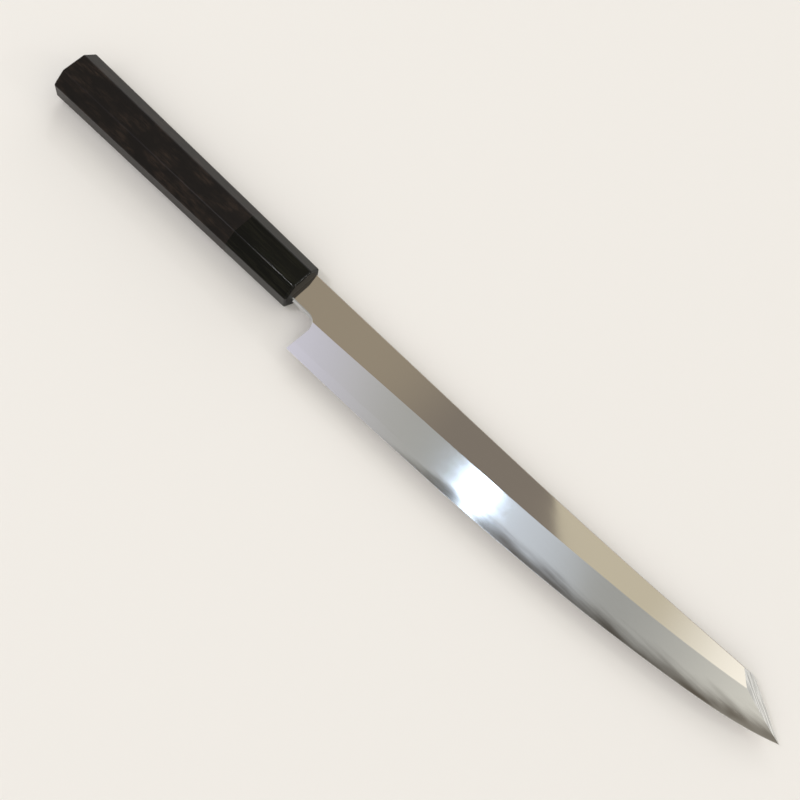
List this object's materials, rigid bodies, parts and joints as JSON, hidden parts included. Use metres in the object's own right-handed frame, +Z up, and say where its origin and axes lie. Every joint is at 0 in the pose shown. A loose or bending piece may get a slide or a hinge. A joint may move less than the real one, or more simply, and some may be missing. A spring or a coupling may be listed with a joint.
{
  "type": "single-bevel slicing knife",
  "caption": "Long narrow kitchen knife with a clipped point, one bevel, a hollow back and an octagonal handle, for slicing fish in single draws.",
  "frame": {"origin": "middle of the part's outline as it lies, on the plane of the handle's lower flat", "axes": "+X along the knife to the point, +Y across it to the spine, +Z up out of the ground front face; the knife lies on the lower flat of its handle with the blade level"},
  "size_m": [0.4262, 0.0382, 0.019],
  "materials": {
    "soft_iron": "polished flat, satin bevel",
    "hard_steel": "dark polish",
    "horn": "polished",
    "ebony": "oiled",
    "resin": "dull"
  },
  "bodies": {
    "root": {"soft_iron_body": "soft_iron", "cutting_steel": "hard_steel", "horn_ferrule": "horn", "ebony_handle": "ebony", "tang_resin": "resin"}
  },
  "joints": []
}
